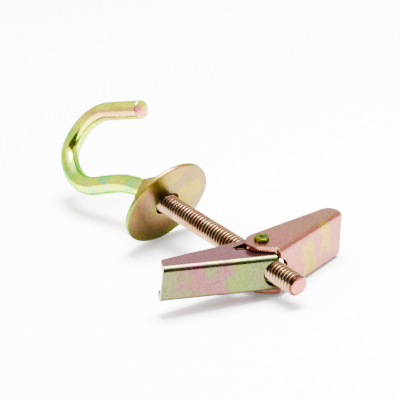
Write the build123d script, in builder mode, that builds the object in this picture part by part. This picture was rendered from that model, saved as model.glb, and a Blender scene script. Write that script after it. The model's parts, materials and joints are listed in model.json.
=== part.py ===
# Swag hook: a bent screw hook with a lock nut, a fender washer and a spring toggle.
# It lies on its washer's rim, its lower rivet and the lower fold of its outer wing.
#
# Every piece is drawn in the bolt's own frame and laid on the floor at the end:
# X runs along the bolt to its tip, from the front face of the washer,
# Z is the pivot of the two wings, and Y points along the outer wing.

import os
from math import acos, asin, atan, atan2, cos, degrees, hypot, radians, sin, sqrt, tan

from build123d import *

os.makedirs("parts", exist_ok=True)

# Screw, one quarter inch with 20 turns to the inch, seen over its rolled crests
thread_diameter = 6.25
thread_pitch = 1.27
thread_form = 0.61  # depth of the thread over its pitch
bolt_reach = 63.6  # from the washer's face to the tip

# Hook, bent from the smooth wire behind the thread
wire_diameter = 5.78
hook_roll = 56.0  # of the hook's plane about the bolt, from the outer wing to the pivot
shank_length = 2.2  # straight wire between the lock nut and the first bend
dip_radius = 39.0
dip_angle = 25.5
neck_length = 7.3
near_radius = 16.4  # of the bowl's first bend
near_angle = 66.0
crown_radius = 7.0
crown_angle = 44.0
far_radius = 14.3
far_angle = 74.4
tail_length = 15.2
cut_edge = 0.35  # broken edge of the sawn wire end

# Lock nut, run up to the end of the thread
nut_across_flats = 11.1
nut_thickness = 4.7
thread_in_nut = 3.5
nut_turn = 55.8  # of one corner about the bolt, from the outer wing
nut_face_diameter = 10.4  # flat left by the chamfer of the corners
nut_chamfer_angle = 30.0

# Fender washer, leaning on the lock nut
washer_diameter = 28.7
washer_thickness = 1.4
washer_play = 0.85  # of the hole round the thread
washer_lift = 0.22  # of its middle above the bolt, which rests in the hole
lean_direction = -76.0  # of the side that leans back, about the bolt
washer_edge = 0.2  # bevel of its edges

# Toggle nut, a round body across the bolt with a trunnion at each end
pivot_reach = 46.6  # from the washer's face to the pivot
barrel_diameter = 9.8
trunnion_diameter = 3.6
rivet_diameter = 4.1
rivet_height = 1.1
rivet_edge = 0.3
centre_mark_diameter = 1.0
centre_mark_depth = 0.8

# Wings, folded from sheet
sheet = 1.5
inner_half_gap = 3.75  # from the bolt to the inner wing's side
outer_sweep = 18.4  # back from square, with the wings sprung open
inner_sweep = 23.2
outer_length = 27.5
inner_length = 28.9
pivot_depth = 7.6  # from the back of the web to the pivot
ear_radius = 4.5
outer_shoulder = 0.4  # the ear's round is drawn out this far along the wing
inner_shoulder = 3.2
tip_depth = 5.0
tip_slant = 1.2  # the sheared end is out of square over its height
outer_tip_radius = 2.8
inner_tip_radius = 1.3
outer_flank = 1.6  # straight part of the side's inner end, from the back of the web
inner_flank = 2.7
bolt_notch_radius = 4.0
bend_radius = 0.25  # inside the folds
meeting_line = 0.45  # where the two webs meet, beside the bolt

# Window in each side of the inner wing
window_outline = [(3.4, 6.1), (7.3, 6.5), (8.0, 8.2), (3.4, 10.7)]  # along the wing, and from its back
window_corner = 0.4

# Torsion spring in the toggle
spring_wire = 0.46
wire_sides = 8  # of the wire's section, few enough to keep its facets light
spring_leg = 4.4  # of each leg past the round body

# Clearances
thread_gap = 0.05
side_gap = 0.25  # between the inner and the outer wing
barrel_gap = 0.1
pivot_gap = 0.05
rivet_gap = 0.05
washer_gap = 0.05
nut_gap = 0.05
meeting_gap = 0.14
spring_gap = 0.06

thread_radius = thread_diameter / 2
thread_depth = thread_form * thread_pitch

# Lean of the washer: its hole takes the thread slantwise
hole_diameter = thread_diameter + 2 * washer_play
slant_room = thread_diameter + 2 * washer_gap + 2 * washer_lift
lean = degrees(acos(slant_room / hypot(hole_diameter, washer_thickness)))
lean -= degrees(atan(washer_thickness / hole_diameter))
back = Vector(0, cos(radians(lean_direction)), sin(radians(lean_direction)))
washer_normal = Vector(cos(radians(lean)), 0, 0) + back * sin(radians(lean))
washer_middle = Vector(-washer_thickness / 2 * cos(radians(lean)), 0, 0) - back * washer_lift

# The lock nut's front face touches the back of the leaning washer
nut_face_reach = nut_face_diameter / 2 + washer_lift
nut_front = washer_middle.X - washer_thickness / (2 * cos(radians(lean)))
nut_front -= nut_face_reach * tan(radians(lean)) + nut_gap
nut_back = nut_front - nut_thickness
thread_end = nut_front - thread_in_nut
bend_start = nut_back - shank_length

# Hook and threaded bolt, one wire
with BuildLine() as hook_line:
    shank = Line((thread_end + thread_pitch, 0), (bend_start, 0))
    bend = JernArc(shank @ 1, shank % 1, dip_radius, dip_angle)
    neck = Line(bend @ 1, bend @ 1 + (bend % 1) * neck_length)
    near = JernArc(neck @ 1, neck % 1, near_radius, -near_angle)
    crown = JernArc(near @ 1, near % 1, crown_radius, -crown_angle)
    far = JernArc(crown @ 1, crown % 1, far_radius, -far_angle)
    Line(far @ 1, far @ 1 + (far % 1) * tail_length)

hook_path = hook_line.line.rotate(Axis.X, hook_roll)

with BuildPart() as hook_bolt:
    with BuildSketch(Plane(origin=hook_path @ 0, z_dir=hook_path % 0)):
        Circle(wire_diameter / 2)
    sweep(path=hook_path)
    chamfer(hook_bolt.faces().sort_by_distance(hook_path @ 1)[0].edges(), cut_edge)
    with BuildSketch(Plane.YZ.offset(thread_end)):
        Circle(thread_radius)
    extrude(amount=bolt_reach - thread_end)
    chamfer(hook_bolt.faces().sort_by(Axis.X)[-1].edges(), thread_depth)
hook_bolt.part.label = "hook_bolt"

# Lock nut, its front corners turned away by a cone
with BuildPart() as lock_nut:
    with BuildSketch(Plane.YZ.offset(nut_back)):
        RegularPolygon(nut_across_flats / 2, 6, major_radius=False, rotation=nut_turn)
        Circle(thread_radius + thread_gap, mode=Mode.SUBTRACT)
    extrude(amount=nut_thickness)
    cone_reach = nut_across_flats
    cone_back = nut_front - (cone_reach - nut_face_diameter / 2) * tan(radians(nut_chamfer_angle))
    with BuildSketch(Plane.XY):
        with BuildLine():
            Polyline(
                (nut_back, 0),
                (nut_front, 0),
                (nut_front, nut_face_diameter / 2),
                (cone_back, cone_reach),
                (nut_back, cone_reach),
                close=True,
            )
        make_face()
    revolve(axis=Axis.X, mode=Mode.INTERSECT)
lock_nut.part.label = "lock_nut"

# Fender washer
with BuildPart() as washer:
    with BuildSketch(Plane(origin=washer_middle, z_dir=washer_normal)):
        Circle(washer_diameter / 2)
        Circle(hole_diameter / 2, mode=Mode.SUBTRACT)
    extrude(amount=washer_thickness / 2, both=True)
    chamfer(washer.edges(), washer_edge)
washer.part.label = "washer"

# Heights of the sheet sides above and below the bolt
inner_half_height = inner_half_gap + sheet
outer_half_gap = inner_half_height + side_gap
outer_half_height = outer_half_gap + sheet
barrel_half_height = inner_half_gap - barrel_gap
rivet_base = outer_half_height + rivet_gap
trunnion_end = outer_half_height + rivet_height

# The outer web ends beside the bolt, and the side of the inner wing stops at its corner
outer_angle = radians(outer_sweep)
inner_angle = radians(inner_sweep)
web_room = pivot_depth - sheet
outer_end = (meeting_line + meeting_gap / 2 - sin(outer_angle) * web_room) / cos(outer_angle)
corner_reach = cos(outer_angle) * web_room - sin(outer_angle) * outer_end
corner_aside = sin(outer_angle) * web_room + cos(outer_angle) * outer_end
inner_end = meeting_gap - sin(inner_angle) * corner_reach - cos(inner_angle) * corner_aside


def bolt_crossing(sweep_angle):
    """Where along a wing the bolt goes through the middle of its web."""
    return -tan(radians(sweep_angle)) * (pivot_depth - sheet / 2)


def bent_wing(half_height, length, shoulder, sweep_angle, web_end, flank, tip_radius, windows):
    """A wing drawn with its pivot on Z, X along the wing, and its web at the pivot's depth below."""
    room = 2 * (length + pivot_depth)
    slant = tip_slant / 2
    corner = Vector(web_end, flank - pivot_depth)
    flank_reach = sqrt(corner.length**2 - ear_radius**2)
    flank_angle = degrees(atan2(-corner.Y, -corner.X) + asin(ear_radius / corner.length))
    with BuildPart() as wing:
        with BuildSketch():
            with BuildLine():
                CenterArc((0, 0), ear_radius, 0, 360)
                CenterArc((shoulder, 0), ear_radius, 0, 360)
                Line((web_end, -pivot_depth), (length + slant, -pivot_depth))
                Line(corner, (length + slant, tip_depth - pivot_depth))
            make_hull()
            with BuildLine():
                flank_edge = PolarLine(corner, flank_reach, flank_angle)
                Polyline(
                    flank_edge @ 1,
                    (-room, (flank_edge @ 1).Y),
                    (-room, -room),
                    (web_end, -room),
                    corner,
                )
            make_face(mode=Mode.SUBTRACT)
        extrude(amount=half_height, both=True)

        # Channel between the web and the two sides
        with BuildSketch(Plane.YZ):
            with Locations((sheet - pivot_depth, 0)):
                Rectangle(room, 2 * (half_height - sheet), align=(Align.MIN, Align.CENTER))
        extrude(amount=room, both=True, mode=Mode.SUBTRACT)
        folds = wing.edges().filter_by(Axis.X)
        outside = folds.filter_by(lambda edge: abs(edge.center().Y + pivot_depth) < sheet / 2)
        inside = folds.filter_by(lambda edge: abs(edge.center().Y + pivot_depth - sheet) < sheet / 2)
        fillet(inside, bend_radius)
        fillet(outside, bend_radius + sheet)

        # Tip sheared a little out of square, with its two free corners rounded
        with BuildSketch(Plane.XZ):
            with BuildLine():
                Polyline(
                    (length + slant, half_height),
                    (length - slant, -half_height),
                    (room, -half_height),
                    (room, half_height),
                    close=True,
                )
            make_face()
        extrude(amount=room, both=True, mode=Mode.SUBTRACT)
        tip = wing.faces().sort_by(Axis.X)[-1]
        fillet(tip.edges().sort_by(Axis.Y)[-2:], tip_radius)

        # Pivot holes, and the notch that lets the bolt through the web
        with BuildSketch():
            Circle(trunnion_diameter / 2 + pivot_gap)
        extrude(amount=half_height, both=True, mode=Mode.SUBTRACT)
        with BuildSketch(Plane.XZ.offset(pivot_depth + sheet)):
            with Locations((bolt_crossing(sweep_angle), 0)):
                Circle(bolt_notch_radius)
        extrude(amount=-2 * sheet - bend_radius, mode=Mode.SUBTRACT)

        for outline in windows:
            with BuildSketch() as window:
                with BuildLine():
                    Polyline(*[(along, depth - pivot_depth) for along, depth in outline], close=True)
                make_face()
                fillet(window.vertices(), window_corner)
            extrude(amount=half_height, both=True, mode=Mode.SUBTRACT)
    return wing


wing_outer = bent_wing(
    outer_half_height,
    outer_length,
    outer_shoulder,
    outer_sweep,
    outer_end,
    outer_flank,
    outer_tip_radius,
    [],
)
wing_inner = bent_wing(
    inner_half_height,
    inner_length,
    inner_shoulder,
    inner_sweep,
    inner_end,
    inner_flank,
    inner_tip_radius,
    [window_outline],
)

# Open wings on the pivot: each one's web stands towards the tip and its sides point back
pivot = Plane((pivot_reach, 0, 0))
outer_place = Plane(pivot.origin, x_dir=(-sin(outer_angle), cos(outer_angle), 0), z_dir=(0, 0, 1))
inner_place = Plane(pivot.origin, x_dir=(-sin(inner_angle), -cos(inner_angle), 0), z_dir=(0, 0, -1))
wing_outer.part.move(outer_place.location)
wing_inner.part.move(inner_place.location)
wing_outer.part.label = "wing_outer"
wing_inner.part.label = "wing_inner"

# Toggle nut: round body, trunnions riveted over the outer wing, and the tapped hole
with BuildPart() as toggle_nut:
    with BuildSketch(pivot):
        Circle(barrel_diameter / 2)
    extrude(amount=barrel_half_height, both=True)
    with BuildSketch(pivot):
        Circle(trunnion_diameter / 2)
    extrude(amount=rivet_base, both=True)
    for way in (1, -1):
        with BuildSketch(Plane(pivot.origin + Vector(0, 0, way * rivet_base), z_dir=(0, 0, way))):
            Circle(rivet_diameter / 2)
        extrude(amount=trunnion_end - rivet_base)
        end = toggle_nut.faces().sort_by(Axis.Z)[-1 if way > 0 else 0]
        chamfer(end.edges(), rivet_edge)
        with BuildSketch(Plane(pivot.origin + Vector(0, 0, way * trunnion_end), z_dir=(0, 0, way))):
            Circle(centre_mark_diameter / 2)
        extrude(amount=-centre_mark_depth, mode=Mode.SUBTRACT)
    with BuildSketch(Plane.YZ.offset(pivot_reach)):
        Circle(thread_radius + thread_gap)
    extrude(amount=barrel_diameter, both=True, mode=Mode.SUBTRACT)
toggle_nut.part.label = "toggle_nut"

# Torsion spring: one wire, led round the body above and below the bolt, its legs pushing on both webs
spring_level = thread_radius + spring_gap + spring_wire / 2
coil_radius = barrel_diameter / 2 + spring_gap + spring_wire / 2
leg_depth = pivot_depth - sheet - spring_gap - spring_wire / 2
leg_end_radius = hypot(coil_radius, spring_leg)
leg_end_angle = degrees(acos(leg_depth / leg_end_radius))
leg_start_angle = leg_end_angle + degrees(acos(coil_radius / leg_end_radius))


def spring_point(radius, angle, level):
    """A point of the wire round the pivot, its angle taken from the bolt's tip towards the outer wing."""
    return Vector(pivot_reach + radius * cos(radians(angle)), radius * sin(radians(angle)), level)


with BuildPart() as torsion_spring:
    with BuildLine() as wire:
        outer_feet = []
        for level in (spring_level, -spring_level):
            outer_foot = spring_point(leg_end_radius, outer_sweep + leg_end_angle, level)
            outer_start = spring_point(coil_radius, outer_sweep + leg_start_angle, level)
            rear = spring_point(coil_radius, 180, level)
            inner_start = spring_point(coil_radius, -inner_sweep - leg_start_angle, level)
            inner_foot = spring_point(leg_end_radius, -inner_sweep - leg_end_angle, level)
            Line(outer_foot, outer_start)
            ThreePointArc(outer_start, rear, inner_start)
            Line(inner_start, inner_foot)
            outer_feet.append(outer_foot)
        Line(*outer_feet)
    wire_path = wire.wires()[0]
    with BuildSketch(Plane(origin=wire_path @ 0, z_dir=wire_path % 0)):
        RegularPolygon(spring_wire / 2, wire_sides)
    sweep(path=wire_path, transition=Transition.RIGHT)
torsion_spring.part.label = "torsion_spring"

# The floor touches the washer's rim, the lower rivet and the lower fold of the outer wing
fold_radius = bend_radius + sheet
fold_along = Vector(-sin(outer_angle), cos(outer_angle), 0)
fold_start = Vector(pivot_reach, 0, fold_radius - outer_half_height)
fold_start += Vector(cos(outer_angle), sin(outer_angle), 0) * (pivot_depth - fold_radius)
fold_end = fold_start + fold_along * (outer_length - tip_slant / 2)
rivet_end = Vector(pivot_reach, 0, -trunnion_end)
rivet_flat = rivet_diameter / 2 - rivet_edge


def rim_low(up):
    """Height of the washer's lowest point over the middle of its face."""
    slope = abs(washer_normal.dot(up))
    rim = washer_diameter / 2 * sqrt(1 - slope**2)
    return washer_middle.dot(up) - (washer_thickness / 2 - washer_edge) * slope - rim


def rivet_low(up):
    """Height of the lower rivet's lowest point over the middle of the washer's face."""
    return rivet_end.dot(up) - rivet_flat * sqrt(1 - up.Z**2)


def fold_low(up):
    """Height of the outer wing's lowest point over the middle of the washer's face."""
    drop = fold_radius * sqrt(1 - fold_along.dot(up) ** 2)
    return min(fold_start.dot(up), fold_end.dot(up)) - drop


settling_rounds = 60
bolt_dip = 0.0
bolt_roll = 0.0
for settling in range(settling_rounds):
    up = Vector(-sin(bolt_dip), -sin(bolt_roll) * cos(bolt_dip), cos(bolt_roll) * cos(bolt_dip))
    bolt_dip += (rivet_low(up) - rim_low(up)) / pivot_reach
    bolt_roll += (fold_low(up) - rivet_low(up)) / outer_length

# Lay the pieces on the floor, with the origin under the middle of the whole hook
floor = Plane((0, 0, 0), x_dir=Vector(1, 0, 0) - up * up.X, z_dir=up)
laid = floor.location.inverse()
pieces = [hook_bolt, lock_nut, washer, toggle_nut, wing_outer, wing_inner, torsion_spring]
for piece in pieces:
    piece.part.move(laid)
boxes = [piece.part.bounding_box() for piece in pieces]
middle_x = (min(box.min.X for box in boxes) + max(box.max.X for box in boxes)) / 2
middle_y = (min(box.min.Y for box in boxes) + max(box.max.Y for box in boxes)) / 2
lowest = min(box.min.Z for box in boxes)
for piece in pieces:
    piece.part.move(Location((-middle_x, -middle_y, -lowest)))

export_step(hook_bolt.part, "parts/hook_bolt.step")
export_step(lock_nut.part, "parts/lock_nut.step")
export_step(washer.part, "parts/washer.step")
export_step(toggle_nut.part, "parts/toggle_nut.step")
export_step(wing_outer.part, "parts/wing_outer.step")
export_step(wing_inner.part, "parts/wing_inner.step")
export_step(torsion_spring.part, "parts/torsion_spring.step")
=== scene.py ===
import json
from math import atan2, cos, hypot, pi, radians, sin

import bmesh
import bpy
from mathutils import Matrix, Vector


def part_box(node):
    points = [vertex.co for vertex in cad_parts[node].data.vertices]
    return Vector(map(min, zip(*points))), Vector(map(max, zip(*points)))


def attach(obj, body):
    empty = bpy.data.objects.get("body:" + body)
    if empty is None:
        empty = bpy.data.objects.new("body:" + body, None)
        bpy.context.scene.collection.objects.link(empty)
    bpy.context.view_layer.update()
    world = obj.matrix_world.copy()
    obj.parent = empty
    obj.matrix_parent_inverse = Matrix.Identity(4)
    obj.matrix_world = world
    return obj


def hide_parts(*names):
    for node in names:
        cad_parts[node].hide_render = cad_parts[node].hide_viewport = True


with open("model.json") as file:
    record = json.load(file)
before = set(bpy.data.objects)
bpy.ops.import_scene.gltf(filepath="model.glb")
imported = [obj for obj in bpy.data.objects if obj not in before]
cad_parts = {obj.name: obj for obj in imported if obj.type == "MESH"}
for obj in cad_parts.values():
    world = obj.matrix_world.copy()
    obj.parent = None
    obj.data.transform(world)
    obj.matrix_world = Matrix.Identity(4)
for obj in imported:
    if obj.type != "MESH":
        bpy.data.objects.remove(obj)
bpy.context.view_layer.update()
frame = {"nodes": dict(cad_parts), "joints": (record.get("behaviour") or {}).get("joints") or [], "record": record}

# The bolt's own frame in millimetres, which most of the drawing below is done in:
# X to its tip from the washer's face, Y towards the outer wing, Z up the pivot of the wings
joints = {joint["name"]: joint for joint in frame["joints"]}
bolt_way = Vector(joints["washer_travel"]["axis"]).normalized()
pivot_way = Vector(joints["outer_wing_fold"]["axis"]).normalized()
bolt_axes = Matrix((bolt_way, pivot_way.cross(bolt_way), pivot_way)).transposed()
bolt_start = Vector(joints["hook_turn"]["pos_m"])
millimetres = Matrix.Scale(0.001, 4)
in_bolt = Matrix.Translation(bolt_start) @ bolt_axes.to_4x4() @ millimetres

# Wire of the hook: its moves are straight lengths, and bends as (radius, turn in degrees)
wire_radius = 2.89
hook_roll = radians(56)
shank_start = -5.96
hook_moves = [4.67, (39, 25.5), 7.3, (16.4, -66), (7, -44), (14.3, -74.4), 15.2]
hook_end_edge = 0.35
hook_sides = 56

# Rolled thread: its form runs from groove to crest, as (share of the pitch, share of the depth)
thread_radius = 3.125
thread_pitch = 1.27
thread_depth = 0.775
thread_start = -7.2275
thread_reach = 63.6
thread_form = [(0, 1), (0.05, 0.985), (0.11, 0.87), (0.39, 0.13), (0.44, 0.03), (0.5, 0)]
turn_steps = 44
thread_turns = 64  # a power of two that is past its real length

# Washer
washer_hole = 3.975
washer_radius = 14.35
washer_thickness = 1.4
washer_edge = 0.3

# Broken edges of the pieces that keep the CAD's form
nut_edge = 0.12
sheet_edge = 0.16

# Pivot of the wings, and the spring round it, with its angles in degrees from the bolt's tip
outer_sweep = radians(18.4)
inner_sweep = radians(23.2)
pivot_reach = 46.6
rivet_base = 7.25
rivet_lobes = 0.1
rivet_dents = 0.05
spring_radius = 0.23
coil_radius = 5.19
coil_level = 3.415
outer_start = 90.0
inner_start = -94.8
leg_length = 4.4
leg_corner = 0.6
spring_sides = 12


class Tone:
    """A socket of a finish. Sums and products of tones add the Math nodes that work them out."""

    def __init__(self, tree, socket=None):
        self.tree = tree
        self.socket = socket

    def node(self, kind, settings, values, output=0):
        """Adds a node with its settings and the values or tones of its sockets."""
        made = self.tree.nodes.new(kind)
        for name, setting in settings.items():
            setattr(made, name, setting)
        for name, value in values.items():
            if isinstance(value, Tone):
                self.tree.links.new(value.socket, made.inputs[name])
            else:
                made.inputs[name].default_value = value
        return Tone(self.tree, made.outputs[output] if made.outputs else None)

    def maths(self, operation, first, second):
        return self.node("ShaderNodeMath", {"operation": operation}, {0: first, 1: second})

    def __add__(self, other):
        return self.maths("ADD", self, other)

    def __sub__(self, other):
        return self.maths("SUBTRACT", self, other)

    def __rsub__(self, other):
        return self.maths("SUBTRACT", other, self)

    def __mul__(self, other):
        return self.maths("MULTIPLY", self, other)

    __radd__ = __add__
    __rmul__ = __mul__

    def step(self, low, high):
        """0 under low and 1 over high, with a soft way between."""
        return self.node(
            "ShaderNodeMapRange",
            {"interpolation_type": "SMOOTHSTEP"},
            {"Value": self, "From Min": low, "From Max": high},
        )

    def between(self, low, high, soft):
        return self.step(low - soft, low + soft) * (1 - self.step(high - soft, high + soft))

    def size(self):
        return self.node("ShaderNodeMath", {"operation": "ABSOLUTE"}, {0: self})


# Colours of the passivated zinc, as its metal reflects white light; brown, olive and tan also serve below as
# painted shade and a painted reflection
GOLD = (0.84, 0.86, 0.0, 1)
STRAW = (0.80, 0.52, 0.0, 1)
OLIVE = (0.44, 0.33, 0.0, 1)
GREEN = (0.34, 0.66, 0.0, 1)
TEAL = (0.08, 0.66, 0.26, 1)
TAN = (0.60, 0.27, 0.12, 1)
PINK = (0.72, 0.20, 0.17, 1)
MAUVE = (0.60, 0.22, 0.26, 1)
BROWN = (0.07, 0.035, 0.012, 1)
CREAM = (0.80, 0.50, 0.27, 1)
SAGE = (0.36, 0.44, 0.15, 1)
STEEL = (0.45, 0.45, 0.42, 1)


class Plating:
    """Yellow zinc plating on one piece: its colour is laid on in fields, some of them painted shade and a painted
    reflection, and its skin is finely pitted.
    """

    def __init__(
        self, name, ground, roughness, depth, pits=0.08, pit_size=0.5, edge_tint=(0.6, 0.9, 0.62, 1)
    ):
        self.depth = depth
        self.material = bpy.data.materials.new(name)
        self.material.use_nodes = True
        self.tree = self.material.node_tree
        self.shader = self.tree.nodes["Principled BSDF"]
        self.shader.inputs["Metallic"].default_value = 1.0
        self.shader.inputs["Specular Tint"].default_value = edge_tint
        self.start = Tone(self.tree)
        self.place = self.start.node("ShaderNodeTexCoord", {}, {}, output=3)
        self.colour = self.start.node("ShaderNodeRGB", {}, {})
        self.colour.socket.default_value = ground
        self.roughness = self.cloud(6, detail=3) * 0.16 + (roughness - 0.08)
        pitted = self.cloud(pit_size, detail=4)
        bump = self.start.node(
            "ShaderNodeBump", {}, {"Strength": pits, "Distance": 0.0004, "Height": pitted}
        )
        self.tree.links.new(bump.socket, self.shader.inputs["Normal"])

    def cloud(self, size, detail=2, at=(0, 0, 0)):
        """Soft noise with its lumps about size millimetres across."""
        scale = Vector((1, 1, 1)) * (500 / size)
        moved = self.start.node(
            "ShaderNodeMapping", {}, {"Vector": self.place, "Location": at, "Scale": scale}
        )
        return self.start.node(
            "ShaderNodeTexNoise", {}, {"Vector": moved, "Scale": 1.0, "Detail": detail}
        )

    def along(self, way, start=pivot_reach):
        """Millimetres along a way of the bolt's frame, counted from a point on the bolt."""
        row_way = bolt_axes @ Vector(way).normalized()
        origin = in_bolt @ Vector((start, 0, 0))
        offset = self.start.node(
            "ShaderNodeVectorMath", {"operation": "SUBTRACT"}, {0: self.place, 1: origin}
        )
        return self.start.node(
            "ShaderNodeVectorMath", {"operation": "DOT_PRODUCT"}, {0: offset, 1: row_way}, output=1
        ) * 1000

    def lay(self, paint, mask):
        """Lays a field of colour on what is there."""
        self.colour = self.start.node(
            "ShaderNodeMix", {"data_type": "RGBA"}, {0: mask, 6: self.colour, 7: paint}, output=2
        )

    def from_bolt(self):
        """Millimetres out from the bolt's middle line."""
        beside = self.along((0, 1, 0))
        above = self.along((0, 0, 1))
        squares = beside * beside + above * above
        return self.start.node("ShaderNodeMath", {"operation": "SQRT"}, {0: squares})

    def finished(self):
        """The material: its colour mottled, deepened and joined to the metal with its gloss."""
        self.lay(BROWN, self.cloud(0.35, detail=3, at=(9, 9, 9)).step(0.4, 0.75) * 0.4)
        darkness = (self.depth, self.depth, self.depth, 1)
        self.colour = self.start.node(
            "ShaderNodeMix",
            {"data_type": "RGBA", "blend_type": "MULTIPLY"},
            {0: 1.0, 6: self.colour, 7: darkness},
            output=2,
        )
        self.tree.links.new(self.colour.socket, self.shader.inputs["Base Color"])
        self.tree.links.new(self.roughness.socket, self.shader.inputs["Roughness"])
        return self.material


def piece(name, drawn, body, material, place=in_bolt, smooth=35):
    """Makes an object of a drawing, with its place in its mesh, and lets it ride on a body."""
    bmesh.ops.recalc_face_normals(drawn, faces=drawn.faces)
    for edge in drawn.edges:
        edge.smooth = len(edge.link_faces) == 2 and edge.calc_face_angle(pi) < radians(smooth)
    for face in drawn.faces:
        face.smooth = True
    mesh = bpy.data.meshes.new(name)
    drawn.to_mesh(mesh)
    drawn.free()
    mesh.transform(place)
    mesh.materials.append(material)
    made = bpy.data.objects.new(name, mesh)
    bpy.context.scene.collection.objects.link(made)
    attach(made, body)
    return made


def bent_wire(radius, moves, sides):
    """Draws a wire from the origin along X, through straight lengths and bends to the left or right."""
    drawn = bmesh.new()
    upright = Matrix.Rotation(pi / 2, 4, "Y")
    bmesh.ops.create_circle(drawn, segments=sides, radius=radius, matrix=upright)
    first = last = list(drawn.edges)
    point = Vector((0, 0, 0))
    heading = 0.0
    for move in moves:
        way = Vector((cos(heading), sin(heading), 0))
        if isinstance(move, tuple):
            bend, turn = move[0], radians(move[1])
            side = Vector((-way.y, way.x, 0)) * (bend if turn > 0 else -bend)
            steps = max(3, round(abs(move[1]) / 3))
            spun = bmesh.ops.spin(
                drawn, geom=last, cent=point + side, axis=(0, 0, 1), angle=turn, steps=steps
            )["geom_last"]
            last = [part for part in spun if isinstance(part, bmesh.types.BMEdge)]
            heading += turn
            point = point + side - Matrix.Rotation(turn, 3, "Z") @ side
        else:
            grown = bmesh.ops.extrude_edge_only(drawn, edges=last)["geom"]
            edges = [part for part in grown if isinstance(part, bmesh.types.BMEdge)]
            last = [edge for edge in edges if len(edge.link_faces) == 1]
            ends = {vert for edge in last for vert in edge.verts}
            bmesh.ops.translate(drawn, verts=list(ends), vec=way * move)
            point = point + way * move
    bmesh.ops.edgeloop_fill(drawn, edges=first)
    bmesh.ops.edgeloop_fill(drawn, edges=last)
    return drawn, last


def everything(drawn):
    return list(drawn.verts) + list(drawn.edges) + list(drawn.faces)


def threaded_bolt():
    """Draws the rolled thread: one turn of its form, repeated, cut to length and bevelled at the tip."""
    drawn = bmesh.new()
    form = thread_form + [(1 - along, depth) for along, depth in reversed(thread_form[:-1])]
    corners = []
    for along, depth in form:
        reach = thread_start + (along - 1) * thread_pitch
        corners.append(drawn.verts.new((reach, 0, thread_radius - depth * thread_depth)))
    for start, end in zip(corners, corners[1:]):
        drawn.edges.new((start, end))
    bmesh.ops.spin(
        drawn,
        geom=list(drawn.verts) + list(drawn.edges),
        cent=(0, 0, 0),
        axis=(1, 0, 0),
        dvec=(thread_pitch / turn_steps, 0, 0),
        angle=2 * pi,
        steps=turn_steps,
    )
    turns = 1
    while turns < thread_turns:
        again = bmesh.ops.duplicate(drawn, geom=everything(drawn))["geom"]
        moved = [part for part in again if isinstance(part, bmesh.types.BMVert)]
        bmesh.ops.translate(drawn, verts=moved, vec=(turns * thread_pitch, 0, 0))
        turns *= 2
    bmesh.ops.remove_doubles(drawn, verts=drawn.verts, dist=0.001)
    for vert in drawn.verts:
        room = thread_radius + (thread_reach - thread_depth) - vert.co.x
        across = hypot(vert.co.y, vert.co.z)
        if 0 < room < across:
            vert.co.yz = vert.co.yz * (room / across)
    for reach, way in ((thread_start, -1), (thread_reach, 1)):
        bmesh.ops.bisect_plane(
            drawn,
            geom=everything(drawn),
            plane_co=(reach, 0, 0),
            plane_no=(way, 0, 0),
            clear_outer=True,
        )
        open_edges = [edge for edge in drawn.edges if edge.is_boundary]
        rim = [edge for edge in open_edges if abs(edge.verts[0].co.x - reach) < 0.001]
        bmesh.ops.edgeloop_fill(drawn, edges=rim)
    return drawn


def ring(inside, outside, thickness, edge):
    """Draws a flat ring about Z with rounded edges."""
    drawn = bmesh.new()
    corners = [
        drawn.verts.new((across, 0, level))
        for across, level in (
            (inside, -thickness / 2),
            (outside, -thickness / 2),
            (outside, thickness / 2),
            (inside, thickness / 2),
        )
    ]
    for start, end in zip(corners, corners[1:] + corners[:1]):
        drawn.edges.new((start, end))
    bmesh.ops.spin(
        drawn,
        geom=list(drawn.verts) + list(drawn.edges),
        cent=(0, 0, 0),
        axis=(0, 0, 1),
        angle=2 * pi,
        steps=144,
        use_merge=True,
    )
    bmesh.ops.recalc_face_normals(drawn, faces=drawn.faces)
    corners = [rim for rim in drawn.edges if rim.calc_face_angle(0) > radians(60)]
    bmesh.ops.bevel(
        drawn, geom=corners, offset=edge, segments=4, profile=0.5, affect="EDGES", material=-1
    )
    return drawn


def softened(node, edge, sharp=40):
    """Draws a copy of a CAD node with its flat faces made whole and its sharp edges broken."""
    drawn = bmesh.new()
    drawn.from_mesh(frame["nodes"][node].data)
    bmesh.ops.scale(drawn, vec=(1000, 1000, 1000), verts=drawn.verts)
    bmesh.ops.remove_doubles(drawn, verts=drawn.verts, dist=0.002)
    bmesh.ops.dissolve_limit(
        drawn,
        angle_limit=radians(0.5),
        verts=drawn.verts,
        edges=drawn.edges,
        use_dissolve_boundaries=False,
    )
    inner_edges = [line for line in drawn.edges if len(line.link_faces) == 2]
    corners = [line for line in inner_edges if line.calc_face_angle(0) > radians(sharp)]
    bmesh.ops.bevel(
        drawn,
        geom=corners,
        offset=edge,
        segments=2,
        profile=0.5,
        affect="EDGES",
        material=-1,
        clamp_overlap=False,
    )
    return drawn


def staked(drawn, to_bolt):
    """Spreads the rivet heads of the toggle nut in lobes, as the staking left them."""
    bmesh.ops.transform(drawn, matrix=to_bolt, verts=drawn.verts)
    for vert in drawn.verts:
        if abs(vert.co.z) > rivet_base:
            out = Vector((vert.co.x - pivot_reach, vert.co.y, 0))
            turn = atan2(out.y, out.x)
            vert.co += out * (rivet_lobes * cos(3 * turn + 0.6) + rivet_dents * cos(7 * turn))
    bmesh.ops.transform(drawn, matrix=to_bolt.inverted(), verts=drawn.verts)


def evened(made):
    """Gives the big flat faces their own normals, so that their rounded edges don't shade them."""
    even = made.modifiers.new("even shading", "WEIGHTED_NORMAL")
    even.keep_sharp = True
    return made
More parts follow.
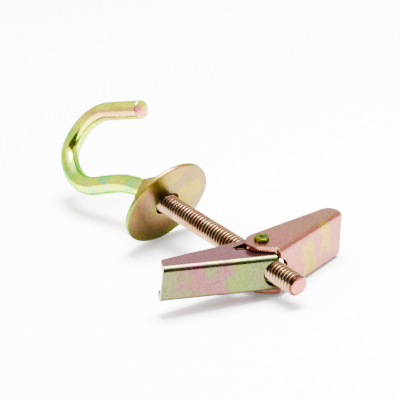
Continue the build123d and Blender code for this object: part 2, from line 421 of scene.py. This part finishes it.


# Finishes, each laid on in fields as the plating shows them, with painted shade and a painted reflection among the
# fields where marked
wire_plating_and_reflection = Plating(
    "wire plating and painted reflection", GOLD, 0.15, depth=0.7, pits=0.03, pit_size=0.9, edge_tint=(0.35, 0.7, 0.1, 1)
)
run_down = wire_plating_and_reflection.along((0, cos(hook_roll), sin(hook_roll)))
green_patches = wire_plating_and_reflection.cloud(5, at=(0, 5, 2)).step(0.4, 0.6)
wire_plating_and_reflection.lay(GREEN, (1 - run_down.step(0, 12)) * (0.35 + 0.6 * green_patches))
teal_patches = wire_plating_and_reflection.cloud(4, at=(2, 5, 4)).step(0.5, 0.66)
wire_plating_and_reflection.lay(TEAL, teal_patches * (1 - run_down.step(0, 8)) * 0.75)
# Painted reflection: a tan band on the underside of the hook's arm stands in for the washer and toggle mirrored in
# the wire
under_arm = (0.36, -0.933 * cos(hook_roll), -0.933 * sin(hook_roll))
painted_reflection_reach = wire_plating_and_reflection.along(under_arm, start=0) + 30
wire_plating_and_reflection.lay(TAN, painted_reflection_reach.step(-0.6, 1.6) * run_down.step(7, 13) * 0.85)
wire_plating_and_reflection.lay(OLIVE, wire_plating_and_reflection.cloud(3, at=(3, 1, 0)).step(0.5, 0.7) * 0.4)
cut_end = wire_plating_and_reflection.along((1, 0, 0), start=-31.5).step(-0.15, 0.6) * run_down.step(18, 19)
wire_plating_and_reflection.lay(PINK, cut_end * (0.6 + 0.4 * wire_plating_and_reflection.cloud(1.2, detail=4).step(0.4, 0.6)))

thread_plating_and_shade = Plating("thread plating and painted shade", CREAM, 0.2, depth=0.42, pits=0.03)
thread_plating_and_shade.lay(TAN, thread_plating_and_shade.cloud(2.5, at=(1, 4, 0)).step(0.35, 0.6) * 0.8)
thread_plating_and_shade.lay(PINK, thread_plating_and_shade.cloud(4, at=(5, 0, 1)).step(0.5, 0.65) * 0.6)
on_tip = thread_plating_and_shade.along((1, 0, 0), start=thread_reach).step(-0.3, -0.1)
# Painted shade: the thread's grooves, in towards the bolt's core, darkened with brown, except on the tip's face
thread_plating_and_shade.lay(BROWN, (1 - thread_plating_and_shade.from_bolt().step(2.5, 3.1)) * (1 - on_tip) * 0.95)
thread_plating_and_shade.lay(PINK, on_tip)

washer_plating_and_shade = Plating("washer plating and painted shade", TAN, 0.32, depth=0.25)
washer_plating_and_shade.lay(PINK, washer_plating_and_shade.cloud(4, at=(2, 2, 0)).step(0.42, 0.6) * 0.5)
washer_plating_and_shade.lay(STRAW, washer_plating_and_shade.cloud(4.5, at=(0, 3, 7)).step(0.48, 0.62) * 0.8)
washer_plating_and_shade.lay(OLIVE, washer_plating_and_shade.cloud(3, at=(4, 3, 7)).step(0.54, 0.68) * 0.6)
# Painted shade: the washer's lower part, towards the floor, made a darker olive
washer_plating_and_shade.lay(OLIVE, (1 - washer_plating_and_shade.along((0, 0, 1)).step(-14, -5)) * 0.6)
washer_plating_and_shade.lay(GREEN, washer_plating_and_shade.from_bolt().step(13.5, 14.3) * 0.9)

nut_plating = Plating("nut plating", STRAW, 0.25, depth=0.34)
nut_plating.lay(TAN, nut_plating.cloud(2, at=(2, 0, 5)).step(0.45, 0.65))
nut_plating.lay(OLIVE, nut_plating.cloud(2.5, at=(6, 0, 5)).step(0.5, 0.7))

outer_plating = Plating("outer wing plating", TAN, 0.26, depth=0.3, edge_tint=(1, 0.86, 0.84, 1))
outer_plating.lay(PINK, outer_plating.cloud(4, at=(1, 0, 2)).step(0.36, 0.6) * 0.8)
outer_plating.lay(OLIVE, outer_plating.cloud(3, at=(4, 4, 2)).step(0.55, 0.7) * 0.35)
on_web = outer_plating.along((cos(outer_sweep), sin(outer_sweep), 0)).step(6.4, 7.0)
down_wing = outer_plating.along((-sin(outer_sweep), cos(outer_sweep), 0))
ragged = (outer_plating.cloud(3.2, detail=2, at=(3, 3, 1)) - 0.5) * 16
rise = outer_plating.along((0, 0, 1))
outer_plating.lay(PINK, on_web * 0.6)
low_patch = (down_wing + ragged).between(6.5, 15.5, 1.6) * (1 - (rise + ragged * 0.5).step(1.5, 4.5))
outer_plating.lay(STRAW, low_patch * on_web * 0.95)
high_patch = (down_wing - ragged * 0.5).between(17.5, 21.5, 1.2) * (rise + ragged * 0.5).step(-3, 0)
outer_plating.lay(STRAW, high_patch * on_web * 0.9)
patch_heart = (down_wing + ragged).between(10, 14, 2) * (1 - rise.step(-1, 3))
outer_plating.lay(OLIVE, patch_heart * on_web * 0.6)

inner_plating_and_shade = Plating("inner wing plating and painted shade", MAUVE, 0.24, depth=0.23, edge_tint=(1, 0.84, 0.86, 1))
inner_plating_and_shade.lay(TAN, inner_plating_and_shade.cloud(4, at=(1, 0, 4)).step(0.5, 0.66) * 0.5)
on_web = inner_plating_and_shade.along((cos(inner_sweep), -sin(inner_sweep), 0)).step(5.4, 6.6)
down_wing = inner_plating_and_shade.along((-sin(inner_sweep), -cos(inner_sweep), 0))
ragged = (inner_plating_and_shade.cloud(2.2, detail=4, at=(2, 1, 6)) - 0.5) * 22
patches = inner_plating_and_shade.cloud(3.2, detail=3, at=(6, 1, 2)).step(0.4, 0.6)
rise = inner_plating_and_shade.along((0, 0, 1))
inner_plating_and_shade.lay(SAGE, patches * on_web * 0.85)
web_ends = (down_wing + ragged * 0.4).step(23, 27) + (1 - (down_wing + ragged * 0.3).step(6, 9))
inner_plating_and_shade.lay(SAGE, web_ends * on_web * 0.9)
inner_plating_and_shade.lay(GREEN, (down_wing + ragged * 0.4).between(5, 10, 1.5) * on_web * 0.4)
inner_plating_and_shade.lay(PINK, (1 - (rise + ragged * 0.3).step(-6, -4)) * on_web * 0.7)
# Painted shade: the whole web darkened with a share of brown, below the tone of the flanges
inner_plating_and_shade.lay(BROWN, on_web * 0.3)

toggle_plating = Plating("toggle nut plating", OLIVE, 0.3, depth=0.16)
toggle_plating.lay(GREEN, toggle_plating.cloud(1, at=(1, 2, 3)).step(0.45, 0.65) * 0.7)
toggle_plating.lay(BROWN, toggle_plating.cloud(0.8, at=(5, 2, 3)).step(0.4, 0.6) * 0.8)
spring_steel = Plating("spring steel", STEEL, 0.25, depth=0.5, edge_tint=(1, 1, 1, 1))

# Hook bolt
hook_wire, hook_end = bent_wire(wire_radius, hook_moves, hook_sides)
bmesh.ops.bevel(
    hook_wire, geom=hook_end, offset=hook_end_edge, segments=3, profile=0.5, affect="EDGES", material=-1
)
from_shank = Matrix.Translation((shank_start, 0, 0)) @ Matrix.Rotation(pi, 4, "Z")
hook_place = in_bolt @ Matrix.Rotation(hook_roll, 4, "X") @ from_shank
smooth_wire = piece("hook_wire", hook_wire, "hook", wire_plating_and_reflection.finished(), hook_place)
thread = piece("bolt_thread", threaded_bolt(), "hook", thread_plating_and_shade.finished(), smooth=50)
for made in (smooth_wire, thread):
    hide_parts("hook_bolt")

# Washer, square on the way that its face looks
low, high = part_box("washer")
face_way = next(Vector(m["axis"]) for m in frame["record"]["mounts"] if m["name"] == "ceiling_face")
facing = face_way.to_track_quat("Z", "Y").to_matrix().to_4x4()
washer_place = Matrix.Translation((low + high) / 2) @ facing @ millimetres
washer_drawn = ring(washer_hole, washer_radius, washer_thickness, washer_edge)
washer = piece("fender_washer", washer_drawn, "washer", washer_plating_and_shade.finished(), washer_place)
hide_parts("washer")

# Pieces that keep the CAD's form, with their edges broken
to_bolt = in_bolt.inverted() @ millimetres
for node, body, plating, edge in (
    ("lock_nut", "hook", nut_plating, nut_edge),
    ("toggle_nut", "toggle", toggle_plating, nut_edge),
    ("wing_outer", "outer_wing", outer_plating, sheet_edge),
    ("wing_inner", "inner_wing", inner_plating_and_shade, sheet_edge),
):
    drawn = softened(node, edge)
    if node == "toggle_nut":
        staked(drawn, to_bolt)
    made = evened(piece(node + "_plated", drawn, body, plating.finished(), millimetres))
    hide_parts(node)


def on_pivot(angle, level):
    """The bolt's frame moved to the pivot, with X turned by an angle from the bolt's tip."""
    at_pivot = Matrix.Translation((pivot_reach, 0, level))
    return in_bolt @ at_pivot @ Matrix.Rotation(radians(angle), 4, "Z")


# Torsion spring: two bows on the round body, and legs that follow the wings
steel = spring_steel.finished()
bow_turn = 360 - outer_start + inner_start
bow_place = Matrix.Translation((coil_radius, 0, 0)) @ Matrix.Rotation(pi / 2, 4, "Z")
crossed_place = bow_place @ Matrix.Rotation(-pi, 4, "Z") @ Matrix.Rotation(pi / 2, 4, "X")
straight_leg = leg_length - leg_corner
crossing = 2 * (coil_level - leg_corner)
crossed_legs = [straight_leg, (leg_corner, 90), crossing, (leg_corner, 90), straight_leg]
bow = [(coil_radius, bow_turn)]
for name, body, moves, place in (
    ("spring_bow_upper", "toggle", bow, on_pivot(outer_start, coil_level) @ bow_place),
    ("spring_bow_lower", "toggle", bow, on_pivot(outer_start, -coil_level) @ bow_place),
    ("spring_legs_outer", "outer_wing", crossed_legs, on_pivot(outer_start, -coil_level) @ crossed_place),
    ("spring_leg_upper", "inner_wing", [leg_length], on_pivot(inner_start, coil_level) @ bow_place),
    ("spring_leg_lower", "inner_wing", [leg_length], on_pivot(inner_start, -coil_level) @ bow_place),
):
    made = piece(name, bent_wire(spring_radius, moves, spring_sides)[0], body, steel, place)
    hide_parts("torsion_spring")

# Studio: pale floor, a bright room with a dark wall on one side, and soft light from above
floor_drawn = bmesh.new()
bmesh.ops.create_grid(floor_drawn, x_segments=1, y_segments=1, size=3.0)
floor_mesh = bpy.data.meshes.new("floor")
floor_drawn.to_mesh(floor_mesh)
floor_drawn.free()
floor_paint = bpy.data.materials.new("floor paint")
floor_paint.use_nodes = True
floor_shader = floor_paint.node_tree.nodes["Principled BSDF"]
floor_shader.inputs["Base Color"].default_value = (0.93, 0.93, 0.93, 1)
floor_shader.inputs["Roughness"].default_value = 0.6
floor_shader.inputs["Emission Color"].default_value = (1, 1, 1, 1)
floor_shader.inputs["Emission Strength"].default_value = 0.1
floor_mesh.materials.append(floor_paint)
floor = bpy.data.objects.new("floor", floor_mesh)
bpy.context.scene.collection.objects.link(floor)

world = bpy.data.worlds.new("studio")
bpy.context.scene.world = world
world.use_nodes = True
room = Tone(world.node_tree)
looking = room.node("ShaderNodeTexCoord", {}, {}, output=0)
dark_wall_way = Vector((0.8563, -0.5165, 0))


def room_way(way):
    return room.node("ShaderNodeVectorMath", {"operation": "DOT_PRODUCT"}, {0: looking, 1: way}, output=1)


height = room_way((0, 0, 1))
aside = room_way(dark_wall_way.cross(Vector((0, 0, 1)))).size()
ahead = room_way(dark_wall_way)
dark_wall = ahead.step(0.3, 0.5) * (1 - aside.step(0.46, 0.66)) * (1 - height.step(0.7, 0.86))
brightness = (2.9 + height.step(0.72, 0.9) * 6) * (1 - dark_wall * 0.95)
room_light = world.node_tree.nodes["Background"]
world.node_tree.links.new(brightness.socket, room_light.inputs["Strength"])
room_light.inputs["Color"].default_value = (1, 1, 1, 1)

lamp = bpy.data.lights.new("overhead", "AREA")
lamp.shape = "DISK"
lamp.size = 0.35
lamp.energy = 42
overhead = bpy.data.objects.new("overhead", lamp)
overhead.location = (0.05, 0.1, 0.6)
overhead.rotation_mode = "QUATERNION"
overhead.rotation_quaternion = overhead.location.to_track_quat("Z", "Y")
bpy.context.scene.collection.objects.link(overhead)

# Camera where the photograph was taken from, in the bolt's frame
lens = bpy.data.cameras.new("camera")
lens.lens = 165.64
lens.sensor_width = 36
lens.clip_start = 0.01
lens.clip_end = 20
camera = bpy.data.objects.new("camera", lens)
bpy.context.scene.collection.objects.link(camera)
camera_axes = Matrix(
    ((0.56256, 0.82666, -0.01299), (-0.34270, 0.24746, 0.90627), (0.75239, -0.50537, 0.42250))
)
camera.rotation_mode = "QUATERNION"
camera.rotation_quaternion = (bolt_axes @ camera_axes.transposed()).to_quaternion()
camera.location = in_bolt @ Vector((408.151, -262.759, 227.347))
bpy.context.scene.camera = camera
